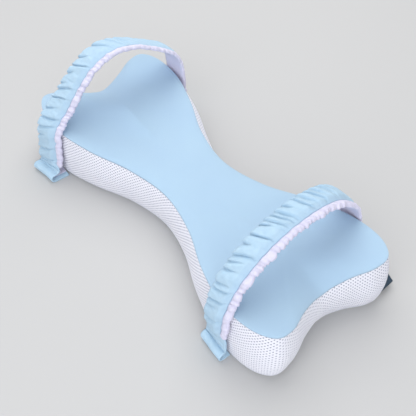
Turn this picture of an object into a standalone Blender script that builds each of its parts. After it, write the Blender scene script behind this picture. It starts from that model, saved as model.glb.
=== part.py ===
"""Knee pillow: a bone-shaped filled pillow with two gathered leg straps.

Metres, +Z up. The origin is on the floor under the middle of the pillow, +X runs along
the pillow and +Y across it. Each piece that is cut or sewn on is an object of its own.
"""

import math
from collections import namedtuple

import bmesh
import bpy
from mathutils import Vector

MM = 0.001

# Cloth and sewing
PANEL_CLOTH = 0.0015
STRAP_CLOTH = 0.0020
STRAP_LINING = 0.0016
LABEL_CLOTH = 0.0010
CLEARANCE = 0.0003
LAYER_GAP = 0.0004

# Filled pillow: a quarter of the seam line, from the notch in the end round to the waist.
# along and across place the seam, top and bottom are the heights of the two seams,
# and bulge is how far the side swells past them, all in millimetres
SEAM_COLUMNS = ("along", "across", "top", "bottom", "bulge")
SEAM_QUARTER = (
    (225.0, 0.0, 60.0, 13.0, 5.5),
    (226.5, 15.0, 63.0, 12.5, 5.5),
    (233.0, 36.5, 69.5, 11.0, 5.5),
    (243.0, 61.0, 76.0, 8.0, 5.5),
    (241.0, 82.5, 79.5, 5.0, 5.0),
    (215.0, 96.0, 78.0, 3.0, 3.5),
    (170.0, 97.0, 72.5, 3.0, 2.5),
    (118.0, 82.0, 66.0, 4.0, 5.5),
    (62.0, 58.5, 61.0, 5.0, 6.0),
    (0.0, 47.0, 59.0, 5.5, 5.5),
)
SPINE = 0.160
WAIST_CROWN = 0.0630
WING_CROWN = 0.0745
WING_STARTS = 0.080
WING_FULL = 0.160
BOTTOM_FLARE = 0.003
SIDE_ROUNDNESS = 0.8

# The far side swells further, from beside the left strap to the waist, along the pillow
FAR_SWELL = 0.0050
FAR_SWELL_RISES = (-0.158, -0.135)
FAR_SWELL_FADES = (-0.075, -0.010)
FLAT_REACH = 0.84
SHOULDER = 0.0030

RIBS = 64
TOP_REACHES = (0.0, 0.30, 0.58, 0.80, 0.93, 1.0)
SIDE_DROPS = (0.14, 0.38, 0.64, 0.87)
BOTTOM_REACHES = (1.0, 0.94, FLAT_REACH, 0.45, 0.0)

# Leg straps: the line of the lining's inner face from the near floor over the pillow to
# the far floor, near side first. across and height place it, and lean is how far the edge
# towards -X stands further out than the other edge, all in millimetres
LoopPoint = namedtuple("LoopPoint", ("across", "height", "lean"))
LEFT_LOOP = (
    (-118.0, 8.5, 7.0),
    (-113.0, 14.0, 8.0),
    (-109.0, 28.0, 8.0),
    (-106.0, 44.0, 7.0),
    (-104.0, 59.0, 7.0),
    (-101.3, 73.0, 6.5),
    (-88.0, 88.5, 5.0),
    (-73.0, 103.0, 3.0),
    (-57.0, 121.0, 0.0),
    (-31.0, 143.0, -3.0),
    (-2.0, 153.0, -5.0),
    (27.0, 148.5, -7.0),
    (51.0, 137.0, -7.0),
    (73.0, 124.5, -5.0),
    (89.0, 113.0, -2.0),
    (98.0, 98.0, 0.0),
    (100.8, 82.0, 0.0),
    (101.8, 64.0, 0.0),
    (102.5, 44.0, 0.0),
    (104.0, 26.0, 0.0),
    (107.0, 13.0, 0.0),
    (111.5, 8.5, 0.0),
)
RIGHT_LOOP = (
    (-106.5, 8.5, -4.0),
    (-104.3, 13.5, -4.0),
    (-103.2, 28.0, -4.0),
    (-102.8, 45.0, -4.0),
    (-101.0, 60.0, -4.0),
    (-97.0, 75.0, -3.0),
    (-86.0, 94.0, -3.0),
    (-71.5, 109.0, -3.0),
    (-55.0, 120.0, -3.0),
    (-37.0, 128.5, -3.0),
    (-15.0, 134.0, -3.0),
    (8.0, 136.0, -3.0),
    (32.0, 134.0, -3.0),
    (54.0, 127.5, -2.0),
    (72.0, 115.0, 0.0),
    (87.0, 99.5, 0.0),
    (96.5, 82.0, 0.0),
    (101.0, 65.0, 0.0),
    (102.5, 46.0, 0.0),
    (103.5, 26.0, 0.0),
    (106.0, 13.0, 0.0),
    (110.5, 8.5, 0.0),
)
STRAP_HALF = 0.0215
STRAP_CREASES = (-0.33, 0.28)
STRAP_CROWN = 0.0014
CROWN_FADE_IN = (0.020, 0.060)
LINING_RIM = 0.0072
LINING_HEM = 0.0012
STRAP_HEM = 0.0015
FULL_STEP = 0.0046
SMOOTH_STEP = 0.0100
FOLD_STEPS = 3
LEAN_LEVEL_BELOW = 0.050
STRAP_ROOT = 0.1018

# Gathers of a strap: the sum of three waves, each a share of the height, a multiple of the
# pitch and a shift. They lie at a slant, and ease off over the far part of the strap
GATHER_PITCH = 0.0145
GATHER_HEIGHT = 0.0015
GATHER_SLANT = 0.40
GATHER_WAVES = ((0.55, 1.00, 0.0), (0.30, 1.63, 1.1), (0.25, 2.71, 2.7))
GATHER_FADE_IN = (0.022, 0.060)
GATHER_EASES = (0.42, 0.62)
GATHER_EASED = 0.80
FAR_END_FADE = (0.060, 0.030)

# Each strap: where its middle lies along the pillow at its near and far ends, its width,
# its loop, and how far out its two folded ends reach
STRAP_COLUMNS = ("side", "near_along", "far_along", "width", "loop", "near_fold", "far_fold")
STRAPS = (
    ("left", -0.1830, -0.1830, 0.043, LEFT_LOOP, -0.1265, 0.1150),
    ("right", 0.1760, 0.1640, 0.038, RIGHT_LOOP, -0.1125, 0.1175),
)

# Label: a short tape folded double. It comes out of the side between two turns, and its
# outer fold runs straight from a raised corner to a low one
LABEL_TURNS = (0.140, 0.110)
LABEL_FOLD = ((0.2150, 0.1130, 0.0190), (0.2430, 0.1105, 0.0060))
LABEL_ROOT_HEIGHT = 0.0100
LABEL_STANDOFF = 0.0001


def smooth(value, low, high):
    """A soft step from 0 at low to 1 at high."""
    part = min(1.0, max(0.0, (value - low) / (high - low)))
    return part * part * (3.0 - 2.0 * part)


def mix(start, end, part):
    return start + (end - start) * part


def through(values, part):
    """A smooth curve through four values in a row, between the second and the third."""
    before, start, end, after = values
    out_slope = (end - before) / 2.0
    in_slope = (after - start) / 2.0
    square = part * part
    cube = square * part
    return (
        (2.0 * cube - 3.0 * square + 1.0) * start
        + (cube - 2.0 * square + part) * out_slope
        + (3.0 * square - 2.0 * cube) * end
        + (cube - square) * in_slope
    )


def seam_row(place):
    """A row of the quarter seam, mirrored on round the whole pillow."""
    quarter = len(SEAM_QUARTER) - 1
    place %= 4 * quarter
    along, across, *rest = SEAM_QUARTER[quarter - abs(quarter - place % (2 * quarter))]
    if quarter < place < 3 * quarter:
        along = -along
    if place > 2 * quarter:
        across = -across
    return (along, across, *rest)


def seam(turn):
    """The seam at a turn of 0 to 1 round the pillow, in metres, as a dict by column."""
    place = turn * 4 * (len(SEAM_QUARTER) - 1)
    first = math.floor(place)
    rows = [seam_row(first + step) for step in (-1, 0, 1, 2)]
    values = [through(column, place - first) * MM for column in zip(*rows)]
    return dict(zip(SEAM_COLUMNS, values))


def outward(turn):
    """The level direction straight out of the side at a turn."""
    ahead = seam(turn + 0.002)
    behind = seam(turn - 0.002)
    return Vector((
        ahead["across"] - behind["across"],
        behind["along"] - ahead["along"],
        0.0,
    )).normalized()


def far_swell(edge):
    """What the far side's swell adds to the bulge there."""
    if edge["across"] <= 0.0:
        return 0.0
    rise = smooth(edge["along"], *FAR_SWELL_RISES)
    return FAR_SWELL * rise * (1.0 - smooth(edge["along"], *FAR_SWELL_FADES))


def spine(turn):
    return SPINE * math.cos(2.0 * math.pi * turn)


def top_point(turn, reach, depth):
    """A point on the top, from the spine (reach 0) to the seam (reach 1)."""
    edge = seam(turn)
    middle = spine(turn)
    crown = mix(WAIST_CROWN, WING_CROWN, smooth(abs(middle), WING_STARTS, WING_FULL))
    height = mix(crown, edge["top"] + SHOULDER, reach ** 2)
    height -= SHOULDER * (1.0 - math.sqrt(1.0 - reach ** 6))
    return Vector((mix(middle, edge["along"], reach), edge["across"] * reach, height - depth))


def side_point(turn, drop, depth):
    """A point on the side, from the top seam (drop 0) to the bottom seam (drop 1)."""
    edge = seam(turn)
    bulge = edge["bulge"] + far_swell(edge)
    swell = bulge * math.sin(math.pi * drop) ** SIDE_ROUNDNESS + BOTTOM_FLARE * drop
    height = mix(edge["top"] - depth, edge["bottom"] + depth, drop)
    return Vector((edge["along"], edge["across"], height)) + outward(turn) * swell


def bottom_point(turn, reach, depth):
    """A point on the underside, which is flat inside FLAT_REACH."""
    edge = seam(turn)
    rim = Vector((edge["along"], edge["across"], 0.0)) + outward(turn) * BOTTOM_FLARE
    lift = edge["bottom"] * max(0.0, (reach - FLAT_REACH) / (1.0 - FLAT_REACH)) ** 2
    return Vector((mix(spine(turn), rim.x, reach), rim.y * reach, lift + depth))


def material(name, colour, roughness):
    made = bpy.data.materials.new(name)
    made.use_nodes = True
    shader = made.node_tree.nodes["Principled BSDF"]
    shader.inputs["Base Color"].default_value = (*colour, 1.0)
    shader.inputs["Roughness"].default_value = roughness
    shader.inputs["Metallic"].default_value = 0.0
    made.diffuse_color = (*colour, 1.0)
    return made


def add_object(name, mesh_builder, surface, sharp_degrees):
    """Finish a mesh and place it in the pillow's collection."""
    bmesh.ops.remove_doubles(mesh_builder, verts=mesh_builder.verts, dist=0.00001)
    bmesh.ops.recalc_face_normals(mesh_builder, faces=mesh_builder.faces)
    mesh = bpy.data.meshes.new(name)
    mesh_builder.to_mesh(mesh)
    mesh_builder.free()
    mesh.shade_smooth()
    mesh.set_sharp_from_angle(angle=math.radians(sharp_degrees))
    mesh.materials.append(surface)
    placed = bpy.data.objects.new(name, mesh)
    pillow_parts.objects.link(placed)
    return placed


def follows_shorter(first, second, third, fourth):
    """Nested curved surfaces stay parallel where each quad splits on its shorter diagonal."""
    return (first.co - third.co).length <= (second.co - fourth.co).length + 0.000001


def follows_slant(first, second, third, fourth):
    """Gathered cloth splits along its slanted gathers, in the strap and its lining alike."""
    return second.co.x > first.co.x


def rings_to_mesh(rings, follows):
    """Join closed rings in order. A first or last ring folded flat on the spine closes."""
    builder = bmesh.new()
    rows = [[builder.verts.new(point) for point in ring] for ring in rings]
    for upper, lower in zip(rows, rows[1:]):
        for index in range(len(upper)):
            after = (index + 1) % len(upper)
            corners = (upper[index], upper[after], lower[after], lower[index])
            if follows(*corners):
                builder.faces.new((corners[0], corners[1], corners[2]))
                builder.faces.new((corners[0], corners[2], corners[3]))
            else:
                builder.faces.new((corners[0], corners[1], corners[3]))
                builder.faces.new((corners[1], corners[2], corners[3]))
    return builder


def turns():
    return [index / RIBS for index in range(RIBS)]


def filled_pillow():
    """The filling in its side cloth: one closed, swollen form."""
    skin = PANEL_CLOTH + CLEARANCE
    rings = [[top_point(turn, reach, skin) for turn in turns()] for reach in TOP_REACHES]
    rings += [[side_point(turn, drop, skin) for turn in turns()] for drop in SIDE_DROPS]
    rings += [[bottom_point(turn, reach, skin) for turn in turns()] for reach in BOTTOM_REACHES]
    return add_object("filled_pillow", rings_to_mesh(rings, follows_shorter), mesh_cloth, 40.0)


def panel(name, point, reaches, surface):
    """A cloth panel: its outer face, its cut edge and its inner face."""
    outer = [[point(turn, reach, 0.0) for turn in turns()] for reach in reaches]
    inner = [[point(turn, reach, PANEL_CLOTH) for turn in turns()] for reach in reversed(reaches)]
    builder = rings_to_mesh(outer + inner, follows_shorter)
    return add_object(name, builder, surface, 40.0)


def fold_end(side, height, fold, lean):
    """A strap's end, turned under on the floor. side is -1 near and 1 far, root first."""
    low = STRAP_LINING + LAYER_GAP + STRAP_CLOTH
    radius = (height - low) / 2.0
    centre = fold - side * radius
    root = side * STRAP_ROOT
    points = [LoopPoint(root, low, 0.0), LoopPoint(mix(root, centre, 0.5), low, lean / 2.0)]
    for step in range(FOLD_STEPS + 1):
        angle = math.pi * step / FOLD_STEPS
        points.append(LoopPoint(
            centre + side * radius * math.sin(angle),
            low + radius - radius * math.cos(angle),
            lean,
        ))
    return points


def loop_line(loop, near_fold, far_fold):
    """Points along a strap's inner face, from end to end."""
    rows = [LoopPoint(*(value * MM for value in row)) for row in loop]
    near, far = rows[0], rows[-1]
    before = LoopPoint(*(2.0 * end - inner for end, inner in zip(near, rows[1])))
    after = LoopPoint(*(2.0 * end - inner for end, inner in zip(far, rows[-2])))
    padded = [before, *rows, after]
    line = fold_end(-1, near.height, near_fold, near.lean)
    for index in range(len(rows) - 1):
        four = padded[index:index + 4]
        start, end = four[1], four[2]
        wanted = FULL_STEP if start.across < 0.0 else SMOOTH_STEP
        length = math.hypot(end.across - start.across, end.height - start.height)
        count = max(1, round(length / wanted))
        for step in range(count):
            line.append(LoopPoint(*(through(column, step / count) for column in zip(*four))))
    line.append(far)
    line += reversed(fold_end(1, far.height, far_fold, far.lean))
    return line


def strap_sections(line):
    """For each point: the point, the way out of the strap, its lean, and the length so far."""
    sections = []
    run = 0.0
    places = [Vector((0.0, point.across, point.height)) for point in line]
    for index, point in enumerate(places):
        before = places[max(0, index - 1)]
        after = places[min(len(places) - 1, index + 1)]
        along = (after - before).normalized()
        out = Vector((0.0, -along.z, along.y))
        level = Vector((0.0, math.copysign(1.0, point.y), 0.0))
        lean_way = level if point.z < LEAN_LEVEL_BELOW else out
        if index:
            run += (point - places[index - 1]).length
        sections.append((point, out, lean_way * line[index].lean, run))
    return sections


def gather(run, across, full_length):
    """How far the gathered cloth stands out. It is fullest over the near half."""
    slanted = 2.0 * math.pi * (run - GATHER_SLANT * across) / GATHER_PITCH
    wave = sum(share * math.sin(slanted / longer + shift) for share, longer, shift in GATHER_WAVES)
    eases = (full_length * GATHER_EASES[0], full_length * GATHER_EASES[1])
    full = smooth(run, *GATHER_FADE_IN) * (1.0 - GATHER_EASED * smooth(run, *eases))
    return GATHER_HEIGHT * wave * full * far_end(run, full_length)


def far_end(run, full_length):
    """1 along a strap, falling to 0 where it lies flat at its far end."""
    start, end = FAR_END_FADE
    return 1.0 - smooth(run, full_length - start, full_length - end)


def strap_cloth(name, near_along, far_along, sections, profile, surface):
    """Sweep a closed profile of (across, out) points along a strap's line."""
    full_length = sections[-1][3]
    rings = []
    for point, out, lean, run in sections:
        crowned = smooth(run, *CROWN_FADE_IN) * far_end(run, full_length)
        along = mix(near_along, far_along, smooth(run, 0.0, full_length))
        ring = []
        for across, thickness in profile:
            crown = STRAP_CROWN * (1.0 - (across / STRAP_HALF) ** 2) * crowned
            stand = thickness + crown + gather(run, across, full_length)
            edge = Vector((along + across, point.y, point.z))
            ring.append(edge + lean * (-0.5 * across / STRAP_HALF) + out * stand)
        rings.append(ring)
    builder = rings_to_mesh(rings, follows_slant)
    builder.verts.ensure_lookup_table()
    count = len(profile)
    builder.faces.new(builder.verts[:count])
    builder.faces.new(builder.verts[-count:])
    return add_object(name, builder, surface, 50.0)


def strap(side, near_along, far_along, width, loop, near_fold, far_fold):
    """A leg strap: gathered outer cloth over a lining that shows along one edge."""
    half = width / 2.0
    sections = strap_sections(loop_line(loop, near_fold, far_fold))
    creases = [half * place for place in STRAP_CREASES]
    shared = (-half + STRAP_HEM, *creases, half - LINING_RIM)
    over = STRAP_LINING + LAYER_GAP
    upper = over + STRAP_CLOTH
    outer_profile = [(across, over) for across in shared]
    outer_profile += [(across, upper) for across in reversed(shared)]
    outer_profile += [(-half, over + STRAP_CLOTH * 0.5)]
    lining_profile = [(across, 0.0) for across in shared]
    lining_profile += [
        (half - 0.0008, 0.0003),
        (half, STRAP_LINING),
        (half - 0.0013, upper - 0.0006),
        (half - LINING_RIM + LINING_HEM, upper - 0.0003),
        (half - LINING_RIM + 0.0004, STRAP_LINING),
    ]
    lining_profile += [(across, STRAP_LINING) for across in reversed(shared[:-1])]
    place = (near_along, far_along, sections)
    strap_cloth(side + "_strap_outer", *place, outer_profile, strap_cotton)
    strap_cloth(side + "_strap_lining", *place, lining_profile, lining_cotton)


def label():
    """A folded tape: two layers held at the side, joined by the fold at its outer edge."""
    layers = LABEL_CLOTH * 2.0 + CLEARANCE
    profile = (
        (0.0, 0.0), (0.5, 0.0), (0.97, 0.0), (1.0, layers / 2.0),
        (0.97, layers), (0.5, layers), (0.0, layers),
    )
    builder = bmesh.new()
    rows = []
    for place in (0.0, 1.0 / 3.0, 2.0 / 3.0, 1.0):
        turn = mix(LABEL_TURNS[0], LABEL_TURNS[1], place)
        root = side_point(turn, 0.85, 0.0) + outward(turn) * LABEL_STANDOFF
        root.z = LABEL_ROOT_HEIGHT
        fold = Vector(LABEL_FOLD[0]).lerp(Vector(LABEL_FOLD[1]), place)
        row = []
        for reach, rise in profile:
            row.append(builder.verts.new(root.lerp(fold, reach) + Vector((0.0, 0.0, rise))))
        rows.append(row)
    for first, second in zip(rows, rows[1:]):
        for index in range(len(profile)):
            after = (index + 1) % len(profile)
            builder.faces.new((first[index], first[after], second[after], second[index]))
    builder.faces.new(rows[0])
    builder.faces.new(rows[-1])
    return add_object("label", builder, label_tape, 50.0)


for old in list(bpy.data.objects):
    bpy.data.objects.remove(old, do_unlink=True)

pillow_parts = bpy.data.collections.new("knee_pillow")
bpy.context.scene.collection.children.link(pillow_parts)

top_cloth = material("top_cloth", (0.43, 0.63, 0.79), 0.80)
mesh_cloth = material("mesh_cloth", (0.78, 0.80, 0.87), 0.85)
base_cloth = material("base_cloth", (0.74, 0.76, 0.82), 0.85)
strap_cotton = material("strap_cotton", (0.46, 0.65, 0.78), 0.85)
lining_cotton = material("lining_cotton", (0.70, 0.70, 0.86), 0.85)
label_tape = material("label_tape", (0.02, 0.04, 0.07), 0.70)

filled_pillow()
panel("top_panel", top_point, TOP_REACHES, top_cloth)
panel("bottom_panel", bottom_point, BOTTOM_REACHES[::-1], base_cloth)
for row in STRAPS:
    strap(**dict(zip(STRAP_COLUMNS, row)))
label()
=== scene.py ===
"""Knee pillow: how its cloths look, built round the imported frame, in metres."""

import math
from collections import namedtuple

import bmesh
import bpy
import numpy as np
from mathutils import Matrix, Vector, noise


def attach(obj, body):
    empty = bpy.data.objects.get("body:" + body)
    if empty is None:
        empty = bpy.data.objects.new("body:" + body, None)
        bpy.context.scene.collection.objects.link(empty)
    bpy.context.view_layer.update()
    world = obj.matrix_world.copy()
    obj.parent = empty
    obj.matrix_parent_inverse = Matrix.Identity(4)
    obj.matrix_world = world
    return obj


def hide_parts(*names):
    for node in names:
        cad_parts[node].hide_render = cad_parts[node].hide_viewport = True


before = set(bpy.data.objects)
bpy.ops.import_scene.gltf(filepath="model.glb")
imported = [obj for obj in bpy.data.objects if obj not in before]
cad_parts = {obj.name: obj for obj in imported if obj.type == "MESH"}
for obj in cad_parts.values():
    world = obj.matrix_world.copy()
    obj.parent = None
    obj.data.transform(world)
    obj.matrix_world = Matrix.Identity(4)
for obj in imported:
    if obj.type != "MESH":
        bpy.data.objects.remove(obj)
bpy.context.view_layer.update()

# The filling and its air-mesh side.
# A bone-shaped block of soft foam, with a white spacer mesh sewn round it as one strip.
# The mesh is knitted with staggered rows of small holes and is stretched, so it lies smooth.

MM = 0.001

# A quarter of the seam line, from the notch in the end round to the waist: where it lies
# along and across, the heights of the top and bottom seams, and how far the side swells
ALONG, ACROSS, TOP, BOTTOM, BULGE = range(5)
SEAM_QUARTER = (
    (225.0, 0.0, 60.0, 13.0, 5.5),
    (226.5, 15.0, 63.0, 12.5, 5.5),
    (233.0, 36.5, 69.5, 11.0, 5.5),
    (243.0, 61.0, 76.0, 8.0, 5.5),
    (241.0, 82.5, 79.5, 5.0, 5.0),
    (215.0, 96.0, 78.0, 3.0, 3.5),
    (170.0, 97.0, 72.5, 3.0, 2.5),
    (118.0, 82.0, 66.0, 4.0, 5.5),
    (62.0, 58.5, 61.0, 5.0, 6.0),
    (0.0, 47.0, 59.0, 5.5, 5.5),
)
SPINE = 0.160
WAIST_CROWN = 0.0630
WING_CROWN = 0.0745
WING_STARTS = 0.080
WING_FULL = 0.160
BOTTOM_FLARE = 0.003
SIDE_ROUNDNESS = 0.8

# The far side swells further, from beside the left strap to the waist, along the pillow
FAR_SWELL = 0.0050
FAR_SWELL_RISES = (-0.158, -0.135)
FAR_SWELL_FADES = (-0.075, -0.010)
FLAT_REACH = 0.84
SHOULDER = 0.0030
PANEL_CLOTH = 0.0015
CLEARANCE = 0.0003

HOLE_ALONG = 0.00275
HOLE_UP = 0.0022
HOLE_DEPTH = 0.0008
HOLE_RADIUS = 0.00082
KNIT_RIB = 0.00055
SEAM_MARGIN = 0.0018
HIDDEN_REACHES = (0.0, 0.30, 0.58, 0.80, 0.93)


def smooth(value, low, high):
    """A soft step from 0 at low to 1 at high."""
    part = np.clip((value - low) / (high - low), 0.0, 1.0)
    return part * part * (3.0 - 2.0 * part)


def mix(start, end, part):
    return start + (end - start) * part


def through(before, start, end, after, part):
    """A smooth curve through four values in a row, between the second and the third."""
    square, cube = part ** 2, part ** 3
    return (
        (2.0 * cube - 3.0 * square + 1.0) * start
        + (cube - 2.0 * square + part) * (end - before) / 2.0
        + (3.0 * square - 2.0 * cube) * end
        + (cube - square) * (after - start) / 2.0
    )


def seam_at(turn):
    """The seam's five measures at turns of 0 to 1 round the pillow."""
    quarter = len(SEAM_QUARTER) - 1
    ring = []
    for place in range(4 * quarter):
        row = np.array(SEAM_QUARTER[quarter - abs(quarter - place % (2 * quarter))]) * MM
        row[ALONG] *= -1.0 if quarter < place < 3 * quarter else 1.0
        row[ACROSS] *= -1.0 if place > 2 * quarter else 1.0
        ring.append(row)
    ring = np.array(ring)
    place = np.asarray(turn) % 1.0 * len(ring)
    first = np.floor(place).astype(int)
    rows = [ring[(first + step) % len(ring)] for step in (-1, 0, 1, 2)]
    return through(*rows, (place - first)[..., None])


def outward(turn):
    """The level direction straight out of the side."""
    run = seam_at(turn + 0.002) - seam_at(turn - 0.002)
    out = np.stack([run[..., ACROSS], -run[..., ALONG], np.zeros(run.shape[:-1])], -1)
    return out / np.linalg.norm(out, axis=-1, keepdims=True)


def even_turns(count):
    """Turns that lie evenly along the seam, and the seam's length."""
    fine = np.linspace(0.0, 1.0, 8001)
    line = seam_at(fine)[:, :2]
    run = np.concatenate([[0.0], np.cumsum(np.linalg.norm(np.diff(line, axis=0), axis=1))])
    return np.interp(np.arange(count) / count * run[-1], run, fine), run[-1]


def top_points(turn, reach, depth):
    """Rows of points on the top, from the spine (reach 0) to the seam (reach 1)."""
    edge = seam_at(turn)
    middle = SPINE * np.cos(2.0 * math.pi * turn)
    reach = np.asarray(reach)[:, None]
    crown = mix(WAIST_CROWN, WING_CROWN, smooth(np.abs(middle), WING_STARTS, WING_FULL))
    height = mix(crown, edge[:, TOP] + SHOULDER, reach ** 2)
    height = height - SHOULDER * (1.0 - np.sqrt(1.0 - reach ** 6)) - depth
    return np.stack([mix(middle, edge[:, ALONG], reach), edge[:, ACROSS] * reach, height], -1)


def side_points(turn, drop, depth):
    """Points on the side, from the top seam (drop 0) to the bottom seam (drop 1)."""
    edge = seam_at(turn)
    far = smooth(edge[..., ALONG], *FAR_SWELL_RISES) * (edge[..., ACROSS] > 0.0)
    far = far * (1.0 - smooth(edge[..., ALONG], *FAR_SWELL_FADES))
    bulge = edge[..., BULGE] + FAR_SWELL * far
    swell = bulge * np.sin(math.pi * drop) ** SIDE_ROUNDNESS + BOTTOM_FLARE * drop
    height = mix(edge[..., TOP] - depth, edge[..., BOTTOM] + depth, drop)
    level = np.stack([edge[..., ALONG] + 0.0 * drop, edge[..., ACROSS] + 0.0 * drop, height], -1)
    return level + outward(turn) * swell[..., None]


def bottom_points(turn, reach, depth):
    """Rows of points on the underside, which is flat inside FLAT_REACH."""
    edge = seam_at(turn)
    rim = edge[:, :2] + outward(turn)[:, :2] * BOTTOM_FLARE
    reach = np.asarray(reach)[:, None]
    lift = edge[:, BOTTOM] * np.maximum(0.0, (reach - FLAT_REACH) / (1.0 - FLAT_REACH)) ** 2
    middle = SPINE * np.cos(2.0 * math.pi * turn)
    return np.stack([mix(middle, rim[:, 0], reach), rim[:, 1] * reach, lift + depth], -1)


def cloth_mesh(name, grid, cloth_place, surface):
    """Faces over closed rows of points. cloth_place is each corner's place on the flat cloth."""
    rows, columns = grid.shape[:2]
    row, column = np.meshgrid(np.arange(rows - 1), np.arange(columns), indexing="ij")
    after = (column + 1) % columns
    faces = np.stack([
        row * columns + column, row * columns + after,
        (row + 1) * columns + after, (row + 1) * columns + column,
    ], -1).reshape(-1, 4)
    corners = np.stack([
        cloth_place[row, column], cloth_place[row, column + 1],
        cloth_place[row + 1, column + 1], cloth_place[row + 1, column],
    ], -2).reshape(-1, 2)
    mesh = bpy.data.meshes.new(name)
    mesh.from_pydata(grid.reshape(-1, 3).tolist(), [], faces.tolist())
    mesh.uv_layers.new(name="cloth").data.foreach_set("uv", corners.ravel())
    builder = bmesh.new()
    builder.from_mesh(mesh)
    bmesh.ops.remove_doubles(builder, verts=builder.verts, dist=0.00002)
    bmesh.ops.dissolve_degenerate(builder, edges=builder.edges, dist=0.00001)
    bmesh.ops.recalc_face_normals(builder, faces=builder.faces)
    builder.to_mesh(mesh)
    builder.free()
    mesh.shade_smooth()
    mesh.materials.append(surface)
    piece = bpy.data.objects.new(name, mesh)
    bpy.context.scene.collection.objects.link(piece)
    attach(piece, "root")
    return piece


def cloth_material(name, colour, roughness, sheen):
    """A matte cloth. Its colour and relief are wired up afterwards."""
    made = bpy.data.materials.new(name)
    made.use_nodes = True
    made.diffuse_color = (*colour, 1.0)
    shader = made.node_tree.nodes["Principled BSDF"]
    shader.inputs["Roughness"].default_value = roughness
    shader.inputs["Specular IOR Level"].default_value = 0.25
    shader.inputs["Sheen Weight"].default_value = sheen
    shader.inputs["Sheen Roughness"].default_value = 0.45
    return made


def wire(surface, kind, values, output=0, **settings):
    """Add a node with these settings and inputs, and give its output."""
    made = surface.node_tree.nodes.new(kind)
    for key, value in settings.items():
        setattr(made, key, value)
    for key, value in values.items():
        if isinstance(value, bpy.types.NodeSocket):
            surface.node_tree.links.new(value, made.inputs[key])
        else:
            made.inputs[key].default_value = value
    return made.outputs[output]


def sums(surface, operation, first, second=0.0, third=0.0):
    return wire(surface, "ShaderNodeMath", {0: first, 1: second, 2: third}, operation=operation)


def cloth_axes(surface):
    """The two places along the flat cloth, in metres."""
    place = wire(surface, "ShaderNodeUVMap", {}, uv_map="cloth")
    split = surface.node_tree.nodes.new("ShaderNodeSeparateXYZ")
    surface.node_tree.links.new(place, split.inputs[0])
    return split.outputs[0], split.outputs[1]


def blotches(surface, size, detail=2.0):
    """Soft uneven patches of this size, about 0.5 on average."""
    place = wire(surface, "ShaderNodeTexCoord", {}, output="Object")
    return wire(surface, "ShaderNodeTexNoise", {
        "Vector": place, "Scale": 1.0 / size, "Detail": detail, "Roughness": 0.55,
    }, output="Fac")


def blend_colours(surface, share, first, second):
    """Mix two colours, each a colour or the output of an earlier mix."""
    made = surface.node_tree.nodes.new("ShaderNodeMix")
    made.data_type = "RGBA"
    for socket, value in ((made.inputs[0], share), (made.inputs[6], first), (made.inputs[7], second)):
        if isinstance(value, bpy.types.NodeSocket):
            surface.node_tree.links.new(value, socket)
        else:
            socket.default_value = (*value, 1.0) if isinstance(value, tuple) else value
    return made.outputs[2]


def dress(surface, colour, relief, depth):
    """Give the shader its colour and the relief of its threads, depth deep."""
    shader = surface.node_tree.nodes["Principled BSDF"]
    surface.node_tree.links.new(colour, shader.inputs["Base Color"])
    bump = wire(surface, "ShaderNodeBump", {"Strength": 1.0, "Distance": depth, "Height": relief},
                output="Normal")
    surface.node_tree.links.new(bump, shader.inputs["Normal"])


def air_mesh_surface():
    """White spacer mesh: round holes in staggered rows, with painted shade inside each hole, and
    knitted ribs.
    """
    # the third colour, hole, is painted shade: the dark put inside each hole, where its depth lies in
    # shadow
    white, shade, hole = (0.90, 0.90, 0.97), (0.84, 0.85, 0.94), (0.36, 0.37, 0.47)
    surface = cloth_material("white_air_mesh", white, 0.85, 0.15)
    along, up = cloth_axes(surface)
    first = sums(surface, "MULTIPLY", along, 0.5 / HOLE_ALONG)
    second = sums(surface, "MULTIPLY", up, 0.5 / HOLE_UP)
    one = sums(surface, "ADD", first, second)
    two = sums(surface, "SUBTRACT", first, second)
    one = sums(surface, "SUBTRACT", one, sums(surface, "ROUND", one))
    two = sums(surface, "SUBTRACT", two, sums(surface, "ROUND", two))
    off_along = sums(surface, "MULTIPLY", sums(surface, "ADD", one, two), HOLE_ALONG)
    off_up = sums(surface, "MULTIPLY", sums(surface, "SUBTRACT", one, two), HOLE_UP)
    distance = sums(surface, "SQRT", sums(
        surface, "ADD", sums(surface, "MULTIPLY", off_along, off_along),
        sums(surface, "MULTIPLY", off_up, off_up)))
    inside = wire(surface, "ShaderNodeMapRange", {
        0: distance, 1: HOLE_RADIUS * 0.70, 2: HOLE_RADIUS * 1.30, 3: 1.0, 4: 0.0,
    }, interpolation_type="SMOOTHSTEP")
    ribs = sums(surface, "SINE", sums(surface, "MULTIPLY", along, 2.0 * math.pi / KNIT_RIB))
    cloth = blend_colours(surface, blotches(surface, 0.02), white, shade)
    # each hole is filled with its painted shade
    colour = blend_colours(surface, inside, cloth, hole)
    relief = sums(surface, "SUBTRACT", sums(surface, "MULTIPLY", ribs, 0.12), inside)
    dress(surface, colour, relief, 0.0005)
    return surface


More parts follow.
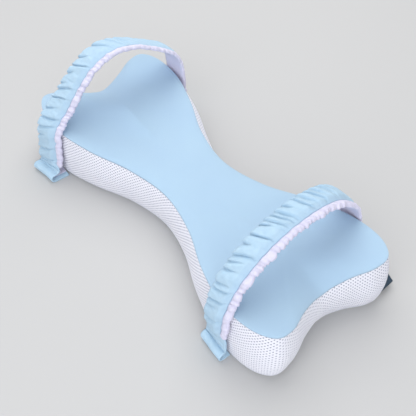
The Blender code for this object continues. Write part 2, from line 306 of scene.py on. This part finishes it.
def filled_side():
    """The filled form, with rows of dimples where the mesh has its holes."""
    length = even_turns(4)[1]
    columns = 4 * round(length / (2.0 * HOLE_ALONG))
    turn = even_turns(columns)[0]
    skin = PANEL_CLOTH + CLEARANCE
    drops = np.linspace(0.0, 1.0, 201)
    profile = side_points(turn[:, None], drops[None, :], skin)
    steps = np.linalg.norm(np.diff(profile[:, ::-1], axis=1), axis=2)
    climb = np.concatenate([np.zeros((columns, 1)), np.cumsum(steps, axis=1)], axis=1)
    rows = math.ceil(climb[:, -1].max() / (HOLE_UP / 2.0)) + 1
    wanted = np.minimum((np.arange(rows) * HOLE_UP / 2.0)[:, None], climb[:, -1])
    drop = np.stack([
        np.interp(wanted[:, index], climb[index], drops[::-1]) for index in range(columns)
    ], 1)
    side = side_points(turn[None, :], drop, skin)
    row, column = np.meshgrid(np.arange(rows), np.arange(columns), indexing="ij")
    hole = (row % 2 == 0) & (column % 2 == 0) & ((row // 2 + column // 2) % 2 == 0)
    room = smooth(np.minimum(wanted, climb[:, -1] - wanted), 0.0, SEAM_MARGIN)
    side -= outward(turn)[None] * (hole * room * HOLE_DEPTH)[..., None]
    top = top_points(turn, HIDDEN_REACHES, skin)
    bottom = bottom_points(turn, HIDDEN_REACHES, skin)
    grid = np.concatenate([bottom, side, top[::-1]])
    around = np.arange(columns + 1) * length / columns
    wide = np.concatenate([wanted, wanted[:, :1]], 1)
    under = np.repeat(np.linspace(-0.1, -0.01, len(bottom))[:, None], columns + 1, 1)
    above = np.repeat(np.linspace(0.11, 0.2, len(top))[:, None], columns + 1, 1)
    up = np.concatenate([under, wide, above])
    place = np.stack([np.repeat(around[None], len(up), 0), up], -1)
    return cloth_mesh("pillow_in_air_mesh", grid, place, air_mesh_surface())


pillow = filled_side()
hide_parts("filled_pillow")

# The top panel.
# One piece of smooth light-blue jersey, cut to the bone shape and sewn to the side all round.
# The seam is turned under with no piping, so the edge rolls over softly and puckers a little.

TOP_COLUMNS = 1024
TOP_ROWS = 46
PUCKER_DEPTH = 0.0005
PUCKER_REACH = 0.007
PUCKER_LENGTH = 0.0075
CLOTH_UNEVEN = 0.00035
STITCH_WIDE = 0.0009
STITCH_HIGH = 0.0007


def jersey_surface(name, light, deep, sheen):
    """Smooth knitted cloth: fine columns of V stitches, and a soft uneven shade."""
    surface = cloth_material(name, light, 0.78, sheen)
    along, up = cloth_axes(surface)
    column = sums(surface, "MULTIPLY", along, 1.0 / STITCH_WIDE)
    lean = sums(surface, "ABSOLUTE", sums(
        surface, "SUBTRACT", sums(surface, "FRACT", column), 0.5))
    course = sums(surface, "ADD", sums(surface, "MULTIPLY", up, 1.0 / STITCH_HIGH), lean)
    rib = sums(surface, "ABSOLUTE", sums(
        surface, "SINE", sums(surface, "MULTIPLY", column, math.pi)))
    loop = sums(surface, "SINE", sums(surface, "MULTIPLY", course, 2.0 * math.pi))
    relief = sums(surface, "MULTIPLY_ADD", loop, 0.35, rib)
    soft = blend_colours(surface, blotches(surface, 0.06, 3.0), light, deep)
    colour = blend_colours(surface, sums(surface, "MULTIPLY", blotches(surface, 0.0015), 0.25),
                           soft, deep)
    dress(surface, colour, relief, 0.00012)
    return surface


def wander(points, size, seed):
    """A gentle random height in -1 to 1 for each point, the same at every run."""
    flat = points.reshape(-1, 3) / size
    shift = Vector((seed * 7.3, seed * 3.1, seed * 5.7))
    heights = [noise.noise(Vector(point) + shift) for point in flat.tolist()]
    return np.array(heights).reshape(points.shape[:-1])


def top_panel():
    """The panel with its puckers along the seam, and its hidden inner face."""
    turn, length = even_turns(TOP_COLUMNS)
    reach = 1.0 - (1.0 - np.linspace(0.0, 1.0, TOP_ROWS)) ** 1.9
    outer = top_points(turn, reach, 0.0)
    inner = top_points(turn, HIDDEN_REACHES + (1.0,), PANEL_CLOTH)
    around = np.arange(TOP_COLUMNS) * length / TOP_COLUMNS
    from_seam = np.linalg.norm(outer - outer[-1:], axis=2)
    ring = np.stack([around, 0.0 * around, 0.0 * around], -1)
    phase = around / PUCKER_LENGTH + 0.9 * wander(ring, 0.020, 1)
    pucker = 0.5 - 0.5 * np.cos(2.0 * math.pi * phase)
    strength = 0.45 + 0.55 * wander(ring, 0.045, 2)
    fade = np.exp(-from_seam / PUCKER_REACH) * smooth(from_seam, 0.0, 0.0015)
    outer[..., 2] -= PUCKER_DEPTH * (pucker * strength)[None] * fade
    inside = smooth(from_seam, 0.004, 0.030)
    outer[..., 2] += CLOTH_UNEVEN * wander(outer, 0.028, 3) * inside
    grid = np.concatenate([outer, inner[::-1]])
    flat = np.concatenate([outer, inner[::-1]])[..., :2]
    place = np.concatenate([flat, flat[:, :1]], 1)
    jersey = jersey_surface("light_blue_jersey", (0.41, 0.575, 0.71), (0.37, 0.525, 0.69), 0.25)
    return cloth_mesh("top_panel_jersey", grid, place, jersey)


top_cloth = top_panel()
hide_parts("top_panel")

# The bottom panel.
# The same bone shape in plain off-white jersey, sewn to the lower edge of the side.
# It lies flat on the bed or floor, and its rim rounds up to the seam.

BOTTOM_ROWS = (0.0, 0.3, 0.6, FLAT_REACH, 0.87, 0.90, 0.93, 0.96, 0.98, 1.0)


def bottom_panel():
    """The panel, flat inside its rounded rim, and its hidden inner face."""
    turn = even_turns(512)[0]
    outer = bottom_points(turn, BOTTOM_ROWS, 0.0)
    inner = bottom_points(turn, BOTTOM_ROWS, PANEL_CLOTH)
    grid = np.concatenate([outer, inner[::-1]])
    place = np.concatenate([grid, grid[:, :1]], 1)[..., :2]
    jersey = jersey_surface("off_white_jersey", (0.74, 0.76, 0.82), (0.68, 0.70, 0.78), 0.15)
    return cloth_mesh("bottom_panel_jersey", grid, place, jersey)


bottom_cloth = bottom_panel()
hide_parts("bottom_panel")

# The two leg straps: gathered light-blue cotton sewn to a pale lavender lining.
# Each is drawn up so that it ruffles, most over the near half, and its lining also shows as
# a beaded band along one edge. The ends are turned under beside the bottom seam.

LEFT_LOOP = (
    (-118.0, 8.5, 7.0), (-113.0, 14.0, 8.0), (-109.0, 28.0, 8.0), (-106.0, 44.0, 7.0),
    (-104.0, 59.0, 7.0), (-101.3, 73.0, 6.5), (-88.0, 88.5, 5.0), (-73.0, 103.0, 3.0),
    (-57.0, 121.0, 0.0), (-31.0, 143.0, -3.0), (-2.0, 153.0, -5.0), (27.0, 148.5, -7.0),
    (51.0, 137.0, -7.0), (73.0, 124.5, -5.0), (89.0, 113.0, -2.0), (98.0, 98.0, 0.0),
    (100.8, 82.0, 0.0), (101.8, 64.0, 0.0), (102.5, 44.0, 0.0), (104.0, 26.0, 0.0),
    (107.0, 13.0, 0.0), (111.5, 8.5, 0.0),
)
RIGHT_LOOP = (
    (-106.5, 8.5, -4.0), (-104.3, 13.5, -4.0), (-103.2, 28.0, -4.0), (-102.8, 45.0, -4.0),
    (-101.0, 60.0, -4.0), (-97.0, 75.0, -3.0), (-86.0, 94.0, -3.0), (-71.5, 109.0, -3.0),
    (-55.0, 120.0, -3.0), (-37.0, 128.5, -3.0), (-15.0, 134.0, -3.0), (8.0, 136.0, -3.0),
    (32.0, 134.0, -3.0), (54.0, 127.5, -2.0), (72.0, 115.0, 0.0), (87.0, 99.5, 0.0),
    (96.5, 82.0, 0.0), (101.0, 65.0, 0.0), (102.5, 46.0, 0.0), (103.5, 26.0, 0.0),
    (106.0, 13.0, 0.0), (110.5, 8.5, 0.0),
)
STRAP_CLOTH = 0.0020
STRAP_LINING = 0.0016
LAYER_GAP = 0.0004
STRAP_HALF = 0.0215
STRAP_CROWN = 0.0014
LINING_RIM = 0.0086
STRAP_HEM = 0.0015
STRAP_ROOT = 0.1018
STRAP_STEP = 0.0006
FOLD_STEPS = 10
GATHER_PITCH = 0.0145
GATHER_HEIGHT = 0.0008
GATHER_SLANT = 0.40
GATHER_WAVES = ((0.55, 1.00, 0.0), (0.30, 1.63, 1.1), (0.25, 2.71, 2.7))
PUFF_HEIGHT = 0.0056
DEEPEST_CREASE = 0.0016
FINE_WRINKLES = 0.00055
EDGE_SCALLOP = 0.0026
RIM_PUFF = 0.0036

# where each part of the ruffles comes in and goes out, in metres along the strap
CROWN_STARTS = (0.020, 0.060)
GATHERS_START = (0.022, 0.060)
RUFFLES_START = (0.034, 0.058)
TAB_ENDS = (0.040, 0.052)

# the draws for the creases: the share that run long, then the ranges of each measure
LONG_CREASES = 0.55
CREASE_DEPTHS = (0.75, 1.0)
CREASE_WIDTHS = (0.0007, 0.0014)
CREASE_BOWS = (-0.0035, 0.0035)
CREASE_STEPS = (0.32, 0.95)
LONG_FROM_EDGE, SHORT_FROM_EDGE = (1.0, 1.8), (0.35, 0.80)
LONG_FROM_RIM, SHORT_FROM_RIM = (0.40, 0.95), (0.15, 0.55)
FIRST_CREASE = 0.040
LAST_CREASE = 0.036

# each strap: where its middle lies at its near and far ends, its width, its loop, how far
# out its folded ends reach, the seed and pitch of its ruffles, the share of its length where
# they ease, and the creases of its near folded end as (run, depth, width, bow)
Strap = namedtuple("Strap", (
    "side", "near_along", "far_along", "width", "loop", "near_fold", "far_fold",
    "seed", "pitch", "eases", "end_creases",
))
LEFT_END_CREASES = (
    (0.0395, 0.0016, 0.0012, 0.010), (0.0455, 0.0016, 0.0012, 0.014),
    (0.0500, 0.0012, 0.0012, 0.016),
)
RIGHT_END_CREASES = ((0.0215, 0.0022, 0.0014, 0.006), (0.0300, 0.0010, 0.0012, 0.010))
STRAPS = (
    Strap("left", -0.1830, -0.1830, 0.043, LEFT_LOOP, -0.1265, 0.1150, 11, 0.0240, 0.44,
          LEFT_END_CREASES),
    Strap("right", 0.1760, 0.1640, 0.038, RIGHT_LOOP, -0.1125, 0.1175, 5, 0.0170, 0.56,
          RIGHT_END_CREASES),
)


def fold_end(side, height, fold, lean):
    """A strap's end, turned under on the floor. side is -1 near and 1 far, root first."""
    low = STRAP_LINING + LAYER_GAP + STRAP_CLOTH
    radius = (height - low) / 2.0
    centre = fold - side * radius
    root = side * STRAP_ROOT
    angles = np.linspace(0.0, math.pi, FOLD_STEPS)
    arc = [(centre + side * radius * math.sin(angle), low + radius - radius * math.cos(angle), lean)
           for angle in angles]
    return [(root, low, 0.0), (mix(root, centre, 0.5), low, lean / 2.0), *arc]


def strap_line(loop, near_fold, far_fold):
    """Evenly spaced points (across, height, lean) along a strap's inner face."""
    rows = np.array(loop) * MM
    padded = np.concatenate([[2.0 * rows[0] - rows[1]], rows, [2.0 * rows[-1] - rows[-2]]])
    line = fold_end(-1, rows[0][1], near_fold, rows[0][2])
    for index in range(len(rows) - 1):
        four = padded[index:index + 4]
        line += [tuple(through(*four, part)) for part in np.linspace(0.0, 1.0, 24)[:-1]]
    line.append(tuple(rows[-1]))
    line += reversed(fold_end(1, rows[-1][1], far_fold, rows[-1][2]))
    line = np.array(line)
    run = np.concatenate([[0.0], np.cumsum(np.linalg.norm(np.diff(line[:, :2], axis=0), axis=1))])
    even = np.linspace(0.0, run[-1], round(run[-1] / STRAP_STEP) + 1)
    return np.stack([np.interp(even, run, line[:, column]) for column in range(3)], -1), even


def ruffles(seed, pitch, full_length):
    """The creases of a gathered strap, a row each: where it meets the rim, its depth, how far
    it reaches in from the far edge and in from the rim, its width and its bow."""
    dice = np.random.default_rng(seed)
    creases = []
    run = FIRST_CREASE
    while run < full_length - LAST_CREASE:
        long = dice.uniform() < LONG_CREASES
        creases.append((
            run, dice.uniform(*CREASE_DEPTHS),
            dice.uniform(*(LONG_FROM_EDGE if long else SHORT_FROM_EDGE)),
            dice.uniform(*(LONG_FROM_RIM if long else SHORT_FROM_RIM)),
            dice.uniform(*CREASE_WIDTHS), dice.uniform(*CREASE_BOWS),
        ))
        run += pitch * dice.uniform(*CREASE_STEPS)
    return creases


def crease_sum(creases, run, across, half, wider=1.0):
    """How deep the gathers are drawn in, 0 to 1, each steep on its far side."""
    drawn = np.zeros(np.broadcast(run, across).shape)
    inward = (half - across) / (2.0 * half)
    for place, depth, from_edge, from_rim, width, bow in creases:
        line = place - GATHER_SLANT * (half - across) + bow * np.sin(math.pi * inward)
        edge_share = 1.0 - smooth(1.0 - inward, from_edge * 0.15, from_edge)
        rim_share = 0.9 * (1.0 - smooth(inward, from_rim * 0.2, from_rim))
        share = np.maximum(edge_share, rim_share)
        off = (run - line) / (width * wider)
        valley = np.exp(-np.abs(np.where(off > 0.0, off * 2.0, off * 0.38)) ** 1.3)
        drawn = np.maximum(drawn, depth * share * valley)
    return drawn


def gather_stand(run, across, full_length):
    """How far both layers of the gathered cloth stand out together."""
    slanted = 2.0 * math.pi * (run - GATHER_SLANT * across) / GATHER_PITCH
    wave = sum(share * np.sin(slanted / longer + shift) for share, longer, shift in GATHER_WAVES)
    eased = 1.0 - 0.8 * smooth(run, 0.42 * full_length, 0.62 * full_length)
    return GATHER_HEIGHT * wave * smooth(run, *GATHERS_START) * eased * far_end(run, full_length)


def far_end(run, full_length):
    """1 along a strap, falling to 0 where it lies flat at its far end."""
    return 1.0 - smooth(run, full_length - 0.060, full_length - 0.030)


def place_strap(strap, line, run, across, stand, widen):
    """Points for rows along a strap and columns (across, stand) over it."""
    full_length = run[-1]
    points = np.stack([0.0 * run, line[:, 0], line[:, 1]], -1)
    tangent = np.gradient(points, axis=0)
    kernel = np.ones(9) / 9.0
    for axis in (1, 2):
        tangent[:, axis] = np.convolve(np.pad(tangent[:, axis], 4, mode="edge"), kernel, mode="valid")
    tangent /= np.linalg.norm(tangent, axis=1, keepdims=True)
    out = np.stack([0.0 * run, -tangent[:, 2], tangent[:, 1]], -1)
    level = np.stack([0.0 * run, np.sign(points[:, 1]), 0.0 * run], -1)
    high = smooth(points[:, 2], 0.042, 0.058)[:, None]
    lean = mix(level, out, high) * line[:, 2:3]
    along = mix(strap.near_along, strap.far_along, smooth(run, 0.0, full_length))
    placed = points[:, None, :] + out[:, None, :] * stand[..., None]
    placed += lean[:, None, :] * (-0.5 * across / STRAP_HALF)[None, :, None]
    placed[..., 0] += along[:, None] + across[None, :] + widen
    placed[..., 2] = np.maximum(placed[..., 2], 0.0)
    return placed


def cotton_surface(name, warp, weft, thread, sheen):
    """Plain woven cotton: crossing threads a little uneven in thickness and shade."""
    surface = cloth_material(name, warp, 0.86, sheen)
    along, up = cloth_axes(surface)
    one = sums(surface, "MULTIPLY", along, 1.0 / thread)
    two = sums(surface, "MULTIPLY", up, 1.0 / thread)
    over = sums(surface, "PINGPONG", sums(
        surface, "ADD", sums(surface, "FLOOR", one), sums(surface, "FLOOR", two)), 1.0)
    warps = sums(surface, "ABSOLUTE", sums(surface, "SINE", sums(surface, "MULTIPLY", one, math.pi)))
    wefts = sums(surface, "ABSOLUTE", sums(surface, "SINE", sums(surface, "MULTIPLY", two, math.pi)))
    relief = wire(surface, "ShaderNodeMix", {0: over, 2: warps, 3: wefts})
    slub = wire(surface, "ShaderNodeCombineXYZ", {0: sums(surface, "MULTIPLY", along, 1.0 / 0.0012),
                                                   1: sums(surface, "MULTIPLY", up, 1.0 / 0.009)})
    slubs = wire(surface, "ShaderNodeTexNoise", {"Vector": slub, "Scale": 1.0, "Detail": 2.0},
                 output="Fac")
    soft = blend_colours(surface, blotches(surface, 0.006, 3.0), warp, weft)
    colour = blend_colours(surface, sums(surface, "MULTIPLY", slubs, 0.5), soft, weft)
    dress(surface, colour, relief, 0.00015)
    return surface


blue_cotton = cotton_surface(
    "light_blue_cotton", (0.54, 0.71, 0.84), (0.42, 0.61, 0.78), 0.00055, 0.1)
pale_cotton = cotton_surface(
    "pale_lavender_cotton", (0.80, 0.78, 0.93), (0.72, 0.70, 0.88), 0.00045, 0.2)


def crowned(rows, full_length):
    """1 where the strap is arched across its width, and 0 at its flat ends."""
    return smooth(rows, *CROWN_STARTS) * far_end(rows, full_length)


def carried(rows, across, full_length):
    """How far the crown and the gathers lift both layers."""
    crown = STRAP_CROWN * (1.0 - (across / STRAP_HALF) ** 2) * crowned(rows, full_length)
    return crown + gather_stand(rows, across, full_length)


def ruffled(strap, rows, full_length):
    """1 where the ruffles are full, less over the far part, and 0 at the ends."""
    start = strap.eases * full_length
    end = (strap.eases + 0.15) * full_length
    eased = 1.0 - 0.72 * smooth(rows, start, end)
    return smooth(rows, *RUFFLES_START) * eased * far_end(rows, full_length)


def cloth_places(across, rows):
    """Each corner's place on the flat cloth, with the first column again at the end."""
    flat = np.stack(np.broadcast_arrays(across[None], rows), -1)
    return np.concatenate([flat, flat[:, :1]], 1)


def under_columns(half):
    """Columns across the under side of a strap's outer cloth, from its hem to its seam."""
    return np.linspace(-half + STRAP_HEM, half - LINING_RIM, 12)


def outer_cloth(strap, line, run, creases):
    """The outer cloth: its under face, its ruffled upper face and the fold at its far edge."""
    half, full_length, rows = strap.width / 2.0, run[-1], run[:, None]
    full = ruffled(strap, rows, full_length)
    tab = 1.0 - smooth(rows, *TAB_ENDS)
    over = STRAP_LINING + LAYER_GAP
    seam = half - LINING_RIM
    top_across = np.linspace(seam, -half + STRAP_HEM, 46)
    low_across = under_columns(half)

    # the puffs between the creases, and fine wrinkles over them
    drawn = crease_sum(creases, rows, top_across[None], half)
    at_rim = smooth(seam - top_across, -0.0010, 0.0064)[None]
    at_edge = smooth(top_across + half, 0.0, 0.0050)[None]
    puff = PUFF_HEIGHT * full * (1.0 - drawn) * at_rim * (0.45 + 0.55 * at_edge)
    spot = np.stack(np.broadcast_arrays(rows, top_across[None] * 0.30, 0.0), -1)
    fine = wander(spot, 0.0040, strap.seed) + 0.5 * wander(spot, 0.0017, strap.seed + 1)
    puff = puff + FINE_WRINKLES * (0.25 + 0.75 * full) * fine * at_rim

    # the curved creases where the near end folds
    across_share = top_across[None] / half
    trough = np.zeros_like(puff)
    for place, depth, thick, bow in strap.end_creases:
        bowed = place + bow * (0.30 * across_share + 0.25 * (1.0 - across_share ** 2))
        trough += depth * np.exp(-((rows - bowed) / thick) ** 2)

    upper = over + STRAP_CLOTH + carried(rows, top_across, full_length)
    top_stand = upper + np.maximum(puff - trough, -DEEPEST_CREASE)
    edge_stand = over + STRAP_CLOTH * 0.5 + carried(rows, -half, full_length) + 0.35 * puff[:, -1:]
    low_stand = over + carried(rows, low_across, full_length)
    stand = np.concatenate([low_stand, top_stand, edge_stand], 1)
    across = np.concatenate([low_across, top_across, [-half]])

    # the far edge is scalloped, and the folded end reaches over the rim
    drawn_edge = crease_sum(creases, rows, np.array([[-half]]), half, 1.3)
    scallop = EDGE_SCALLOP * full * (drawn_edge - 0.35)
    widen = np.zeros_like(stand)
    widen[:, -1:] = scallop
    widen[:, len(low_across):-1] = scallop * np.exp(-(top_across + half) / 0.004)[None]
    widen = widen + np.maximum(0.0, across / seam)[None] ** 3 * tab * (LINING_RIM - 0.0002)

    grid = place_strap(strap, line, run, across, stand, widen)
    places = cloth_places(across, rows)
    return capped(cloth_mesh(strap.side + "_strap_cotton", grid, places, blue_cotton))


# the band of lining outside the seam, in columns from its inner face over its edge to the
# seam: how far in from the edge, how high, and how much its ruffles lift it and spread it
RIM_FROM_EDGE = np.array([
    0.0010, 0.0000, 0.0008, 0.0022, 0.0038, 0.0054, 0.0070, LINING_RIM - 0.0002, LINING_RIM - 0.0002,
])
RIM_RISE = np.array([
    0.0002, 0.0014, 0.0030, 0.0036, 0.0038, 0.0038, 0.0037, 0.0036, STRAP_LINING,
])
RIM_LIFT = np.array([0.0, 0.35, 0.85, 1.0, 1.0, 0.85, 0.45, 0.0, 0.0])
RIM_SPREAD = np.array([0.7, 1.0, 0.8, 0.5, 0.25, 0.1, 0.0, 0.0, 0.0])


def rim_ruffles(creases, pitch, seed):
    """The rim's own creases: one at each gather, and one more beside it."""
    dice = np.random.default_rng(seed)
    rim_creases = []
    for crease in creases:
        place = crease[0]
        rim_creases.append((place, dice.uniform(0.4, 1.0), 1.0, 2.0, 0.0010, 0.0))
        beside = place + dice.uniform(0.35, 0.65) * 0.6 * pitch
        rim_creases.append((beside, dice.uniform(0.3, 0.9), 1.0, 2.0, 0.0008, 0.0))
    return rim_creases


def lining_cloth(strap, line, run, creases):
    """The lining: its inner face, the ruffled band outside the seam, and its hidden face."""
    half, full_length, rows = strap.width / 2.0, run[-1], run[:, None]
    tab = 1.0 - smooth(rows, *TAB_ENDS)
    low_across = under_columns(half)
    rim_across = half - RIM_FROM_EDGE
    across = np.concatenate([low_across, rim_across, low_across[::-1][1:]])
    rim = slice(len(low_across), len(low_across) + len(rim_across))

    rim_creases = rim_ruffles(creases, strap.pitch, strap.seed + 50)
    drawn = crease_sum(rim_creases, rows, rim_across[None] + 0.004, half)
    spot = np.stack(np.broadcast_arrays(rows, rim_across[None], 0.0), -1)
    bumps = wander(spot, 0.006, strap.seed + 2)
    full = ruffled(strap, rows, full_length)
    band = (0.30 + 0.70 * full) * crowned(rows, full_length)
    ruffle = RIM_PUFF * band * (0.9 - drawn + 0.5 * bumps)

    stand = carried(rows, across, full_length) + np.zeros_like(rows)
    flattened = mix(RIM_RISE[None], np.minimum(RIM_RISE, STRAP_LINING)[None], tab)
    stand[:, rim] += flattened + RIM_LIFT[None] * ruffle
    stand[:, rim.stop:] += STRAP_LINING

    # the rim's edge wanders in and out, and is tucked in under the folded end
    lobes = wander(np.stack(np.broadcast_arrays(rows, 0.0, 0.0), -1), 0.009, strap.seed + 3)
    edge_out = 0.0016 + 0.0026 * lobes - 0.0042 * drawn[:, 1:2]
    widen = np.zeros_like(stand)
    widen[:, rim] += RIM_SPREAD[None] * edge_out * band
    widen[:, rim] -= 0.85 * tab * (LINING_RIM - RIM_FROM_EDGE)[None]

    grid = place_strap(strap, line, run, across, stand, widen)
    places = cloth_places(across, rows)
    return capped(cloth_mesh(strap.side + "_strap_pale_lining", grid, places, pale_cotton))


def capped(piece):
    """Close the two cut ends of a swept piece."""
    builder = bmesh.new()
    builder.from_mesh(piece.data)
    open_edges = [edge for edge in builder.edges if edge.is_boundary]
    bmesh.ops.holes_fill(builder, edges=open_edges, sides=0)
    bmesh.ops.recalc_face_normals(builder, faces=builder.faces)
    builder.to_mesh(piece.data)
    builder.free()
    return piece


for strap in STRAPS:
    line, run = strap_line(strap.loop, strap.near_fold, strap.far_fold)
    creases = ruffles(strap.seed, strap.pitch, run[-1])
    outer = outer_cloth(strap, line, run, creases)
    lining = lining_cloth(strap, line, run, creases)
    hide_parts(strap.side + "_strap_outer")
    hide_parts(strap.side + "_strap_lining")

# The label.
# A short dark tape with nothing on it, folded double and caught in the side at the far
# right lobe. It is a close twill, a little stiff, and hangs out of the mesh at a slant.

LABEL_TURNS = (0.140, 0.110)
LABEL_FOLD = ((0.2150, 0.1130, 0.0190), (0.2430, 0.1105, 0.0060))
LABEL_ROOT_HEIGHT = 0.0100
LABEL_STANDOFF = 0.0001
LABEL_LAYERS = 0.0023
LABEL_WIDTH = 0.028
LABEL_REACH = 0.014


def twill_surface():
    """Dark tape: fine slanting ribs of twill, with a painted highlight on their tops."""
    # pale serves both the tape's random paler patches and the painted highlight on the rib tops
    dark, pale = (0.012, 0.030, 0.055), (0.035, 0.062, 0.095)
    surface = cloth_material("dark_blue_twill", dark, 0.6, 0.1)
    along, up = cloth_axes(surface)
    slanting = sums(surface, "MULTIPLY", sums(surface, "ADD", along, up), 2.0 * math.pi / 0.0007)
    rib = sums(surface, "MULTIPLY_ADD", sums(surface, "SINE", slanting), 0.5, 0.5)
    cloth = blend_colours(surface, blotches(surface, 0.004), dark, pale)
    # painted highlight: the rib tops are mixed towards pale, where light would catch them
    rib_colour_with_painted_highlight = blend_colours(surface, sums(surface, "MULTIPLY", rib, 0.5), cloth, pale)
    dress(surface, rib_colour_with_painted_highlight, rib, 0.0001)
    return surface


def label():
    """Two layers held at the side, pinched a little behind the fold at their outer edge."""
    across = np.linspace(0.0, 1.0, 30)
    turn = mix(LABEL_TURNS[0], LABEL_TURNS[1], across)
    root = side_points(turn, np.full(turn.shape, 0.85), 0.0) + outward(turn) * LABEL_STANDOFF
    root[:, 2] = LABEL_ROOT_HEIGHT
    fold = mix(np.array(LABEL_FOLD[0]), np.array(LABEL_FOLD[1]), across[:, None])
    reaches = np.linspace(0.0, 0.96, 22)
    bend = np.linspace(0.0, math.pi, 9)[1:-1]
    reach = np.concatenate([reaches, 0.96 + 0.04 * np.sin(bend), reaches[::-1]])
    rise = LABEL_LAYERS / 2.0 * np.concatenate([-np.ones(22), -np.cos(bend), np.ones(22)])
    grid = mix(root[:, None], fold[:, None], reach[None, :, None])
    pinch = 1.0 - 0.35 * smooth(reach, 0.75, 0.9) * (1.0 - smooth(reach, 0.93, 0.99))
    grid[..., 2] += LABEL_LAYERS / 2.0 + (rise * pinch)[None]
    length = np.concatenate([reaches, np.linspace(0.97, 1.03, 7), 1.04 + reaches]) * LABEL_REACH
    wide = np.repeat(across[:, None] * LABEL_WIDTH, len(reach), 1)
    flat = np.stack([wide, np.repeat(length[None], len(across), 0)], -1)
    flat = np.concatenate([flat, flat[:, :1]], 1)
    return capped(cloth_mesh("label_tape", grid, flat, twill_surface()))


label_piece = label()
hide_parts("label")

# The floor, the light and the camera.
# A plain pale floor under a broad soft light from beyond the pillow, with a weaker fill from
# the camera's side. The camera looks down at the pillow from its near right.

floor_mesh = bpy.data.meshes.new("floor")
floor_mesh.from_pydata([(-6, -6, 0), (6, -6, 0), (6, 6, 0), (-6, 6, 0)], [], [(0, 1, 2, 3)])
floor = bpy.data.objects.new("floor", floor_mesh)
bpy.context.scene.collection.objects.link(floor)
FLOOR_GREY = (0.50, 0.50, 0.50)
floor_paint = cloth_material("pale_floor", FLOOR_GREY, 0.7, 0.0)
floor_shader = floor_paint.node_tree.nodes["Principled BSDF"]
floor_shader.inputs["Base Color"].default_value = (*FLOOR_GREY, 1.0)
floor_mesh.materials.append(floor_paint)

# each light: its place, its size, its power and its colour. They point at the pillow
LIGHTS = (
    ("overhead_softbox", (-0.62, 0.48, 1.60), 1.9, 27.0, (1.0, 0.99, 0.98)),
    ("camera_side_fill", (0.95, -1.15, 0.95), 2.2, 26.0, (0.97, 0.98, 1.0)),
)
for name, place, size, power, colour in LIGHTS:
    lamp = bpy.data.lights.new(name, "AREA")
    lamp.energy, lamp.size, lamp.color = power, size, colour
    placed = bpy.data.objects.new(name, lamp)
    placed.location = place
    placed.rotation_mode = "QUATERNION"
    placed.rotation_quaternion = Vector(place).to_track_quat("Z", "Y")
    bpy.context.scene.collection.objects.link(placed)

sky = bpy.data.worlds.new("studio")
sky.use_nodes = True
sky.node_tree.nodes["Background"].inputs[0].default_value = (0.95, 0.97, 1.0, 1.0)
sky.node_tree.nodes["Background"].inputs[1].default_value = 0.58
bpy.context.scene.world = sky
bpy.context.scene.view_settings.view_transform = "Standard"

CAMERA_PLACE = (0.44385, -0.32279, 0.62093)
CAMERA_TURN = math.radians(52.338)
CAMERA_HEIGHT = math.radians(48.469)
CAMERA_ROLL = -0.0105
lens = bpy.data.cameras.new("camera")
lens.sensor_width = 36.0
lens.lens = 53.53
lens.clip_start = 0.01
camera = bpy.data.objects.new("camera", lens)
back = Vector((math.sin(CAMERA_TURN) * math.cos(CAMERA_HEIGHT),
               -math.cos(CAMERA_TURN) * math.cos(CAMERA_HEIGHT), math.sin(CAMERA_HEIGHT)))
right = Vector((math.cos(CAMERA_TURN), math.sin(CAMERA_TURN), 0.0))
up = back.cross(right)
right, up = (right * math.cos(CAMERA_ROLL) + up * math.sin(CAMERA_ROLL),
             up * math.cos(CAMERA_ROLL) - right * math.sin(CAMERA_ROLL))
camera.matrix_world = Matrix.Translation(CAMERA_PLACE) @ Matrix((right, up, back)).transposed().to_4x4()
bpy.context.scene.collection.objects.link(camera)
bpy.context.scene.camera = camera
